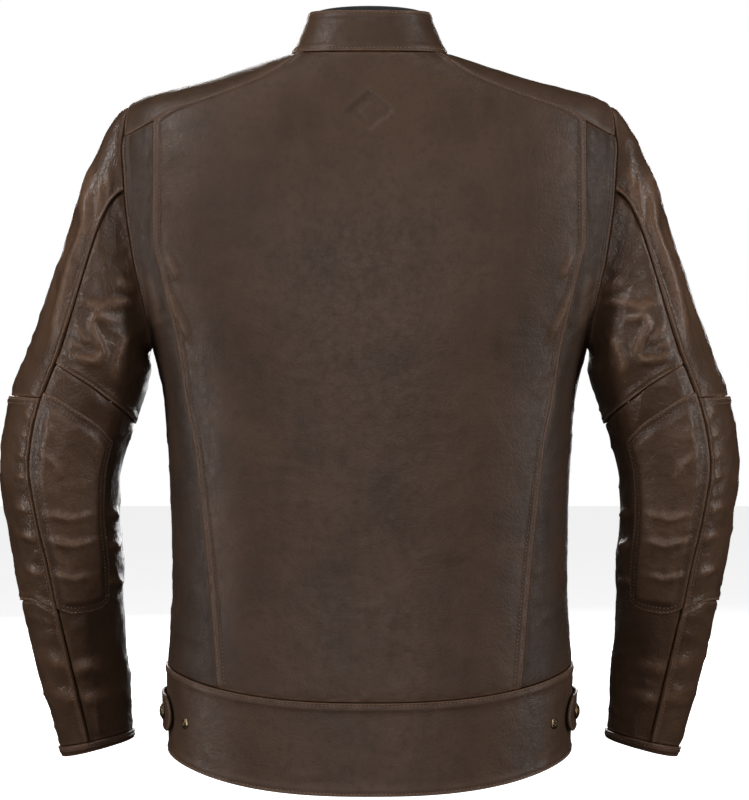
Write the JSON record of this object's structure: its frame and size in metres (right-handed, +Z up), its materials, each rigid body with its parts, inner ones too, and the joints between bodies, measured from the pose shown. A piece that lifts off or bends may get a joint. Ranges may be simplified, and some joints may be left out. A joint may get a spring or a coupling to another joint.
{
  "type": "leather riding jacket",
  "caption": "Fitted leather riding jacket with stand collar, yoked shoulders, pleated back, padded elbow patches, snap waist tabs and a front zip.",
  "frame": {"origin": "centre-back neck seam, where the jacket hangs by its loop", "axes": "+Z up, the front faces -Y, the wearer's left is +X"},
  "size_m": [0.7066, 0.252, 0.7317],
  "materials": {
    "shell_leather": "dark brown, matte with faint mottling",
    "pleat_leather": "dark brown, soft matte",
    "sleeve_leather": "dark brown, satin, creased",
    "patch_leather": "dark brown, satin, padded",
    "lining_cloth": "black cloth",
    "armour_foam": "dark grey foam",
    "zip_tape": "black woven tape",
    "antique_brass": "antique, lightly worn"
  },
  "bodies": {
    "jacket_body": {"back_panel": "shell_leather", "collar_shell": "shell_leather", "collar_lining": "lining_cloth", "waistband_back": "shell_leather", "lining_back": "lining_cloth", "back_protector": "armour_foam", "hanger_loop": "lining_cloth", "back_pleat_strip_l": "pleat_leather", "back_pleat_strip_r": "pleat_leather", "side_panel_l": "shell_leather", "side_panel_r": "shell_leather", "shoulder_yoke_l": "shell_leather", "shoulder_yoke_r": "shell_leather", "front_panel_l": "shell_leather", "front_panel_r": "shell_leather", "waistband_front_l": "shell_leather", "waistband_front_r": "shell_leather", "lining_front_l": "lining_cloth", "lining_front_r": "lining_cloth", "main_zip_tape_l": "zip_tape", "main_zip_tape_r": "zip_tape", "pocket_zip_l": "zip_tape", "pocket_zip_r": "zip_tape", "pocket_bag_l": "lining_cloth", "pocket_bag_r": "lining_cloth", "shoulder_armour_l": "armour_foam", "shoulder_armour_r": "armour_foam", "snap_stud_rear_l": "antique_brass", "snap_stud_rear_r": "antique_brass", "snap_stud_front_l": "antique_brass", "snap_stud_front_r": "antique_brass"},
    "main_slider": {"main_zip_slider": "antique_brass"},
    "main_puller": {"main_zip_puller": "antique_brass"},
    "sleeve_l": {"sleeve_head_l": "sleeve_leather", "upper_sleeve_top_l": "sleeve_leather", "upper_sleeve_under_l": "sleeve_leather"},
    "forearm_l": {"elbow_patch_l": "patch_leather", "elbow_wrap_l": "sleeve_leather", "forearm_top_l": "sleeve_leather", "forearm_under_l": "sleeve_leather", "cuff_band_l": "sleeve_leather", "elbow_armour_l": "armour_foam"},
    "pocket_slider_l": {"pocket_slider_l": "antique_brass"},
    "pocket_puller_l": {"pocket_puller_l": "antique_brass"},
    "waist_tab_l": {"waist_tab_l": "shell_leather", "waist_snap_cap_l": "antique_brass"},
    "sleeve_r": {"sleeve_head_r": "sleeve_leather", "upper_sleeve_top_r": "sleeve_leather", "upper_sleeve_under_r": "sleeve_leather"},
    "forearm_r": {"elbow_patch_r": "patch_leather", "elbow_wrap_r": "sleeve_leather", "forearm_top_r": "sleeve_leather", "forearm_under_r": "sleeve_leather", "cuff_band_r": "sleeve_leather", "elbow_armour_r": "armour_foam"},
    "pocket_slider_r": {"pocket_slider_r": "antique_brass"},
    "pocket_puller_r": {"pocket_puller_r": "antique_brass"},
    "waist_tab_r": {"waist_tab_r": "shell_leather", "waist_snap_cap_r": "antique_brass"}
  },
  "joints": [
    {"name": "main_zip_slide", "type": "slide", "parent": "jacket_body", "child": "main_slider", "axis": [0, -0.1454, -0.9894], "range_m": [0, 0.535]},
    {"name": "main_puller_swing", "type": "hinge", "parent": "main_slider", "child": "main_puller", "pos_m": [0, -0.14237, -0.09411], "axis": [-1, 0, 0], "range_deg": [0, 100]},
    {"name": "shoulder_raise_l", "type": "hinge", "parent": "jacket_body", "child": "sleeve_l", "pos_m": [0.235, -0.075, -0.17], "axis": [0, -1, 0], "range_deg": [0, 32], "deforming": ["sleeve_head_l"]},
    {"name": "elbow_bend_l", "type": "hinge", "parent": "sleeve_l", "child": "forearm_l", "pos_m": [0.2955, -0.098, -0.425], "axis": [-1, 0, 0], "range_deg": [0, 60], "deforming": ["elbow_patch_l", "elbow_wrap_l"]},
    {"name": "pocket_slide_l", "type": "slide", "parent": "jacket_body", "child": "pocket_slider_l", "axis": [0.0007, -0.1288, -0.9917], "range_m": [0, 0.09]},
    {"name": "pocket_puller_swing_l", "type": "hinge", "parent": "pocket_slider_l", "child": "pocket_puller_l", "pos_m": [0.1196, -0.17843, -0.41995], "axis": [-0.9453, -0.3236, 0.0413], "range_deg": [0, 90]},
    {"name": "waist_tab_open_l", "type": "hinge", "parent": "jacket_body", "child": "waist_tab_l", "pos_m": [0.1872, -0.1412, -0.6185], "axis": [0, 0, -1], "range_deg": [0, 48]},
    {"name": "shoulder_raise_r", "type": "hinge", "parent": "jacket_body", "child": "sleeve_r", "pos_m": [-0.235, -0.075, -0.17], "axis": [0, 1, 0], "range_deg": [0, 32], "deforming": ["sleeve_head_r"]},
    {"name": "elbow_bend_r", "type": "hinge", "parent": "sleeve_r", "child": "forearm_r", "pos_m": [-0.2955, -0.098, -0.425], "axis": [-1, 0, 0], "range_deg": [0, 60], "deforming": ["elbow_patch_r", "elbow_wrap_r"]},
    {"name": "pocket_slide_r", "type": "slide", "parent": "jacket_body", "child": "pocket_slider_r", "axis": [-0.0007, -0.1288, -0.9917], "range_m": [0, 0.09]},
    {"name": "pocket_puller_swing_r", "type": "hinge", "parent": "pocket_slider_r", "child": "pocket_puller_r", "pos_m": [-0.1196, -0.17843, -0.41995], "axis": [-0.9453, 0.3236, -0.0413], "range_deg": [0, 90]},
    {"name": "waist_tab_open_r", "type": "hinge", "parent": "jacket_body", "child": "waist_tab_r", "pos_m": [-0.1872, -0.1412, -0.6185], "axis": [0, 0, 1], "range_deg": [0, 48]}
  ]
}
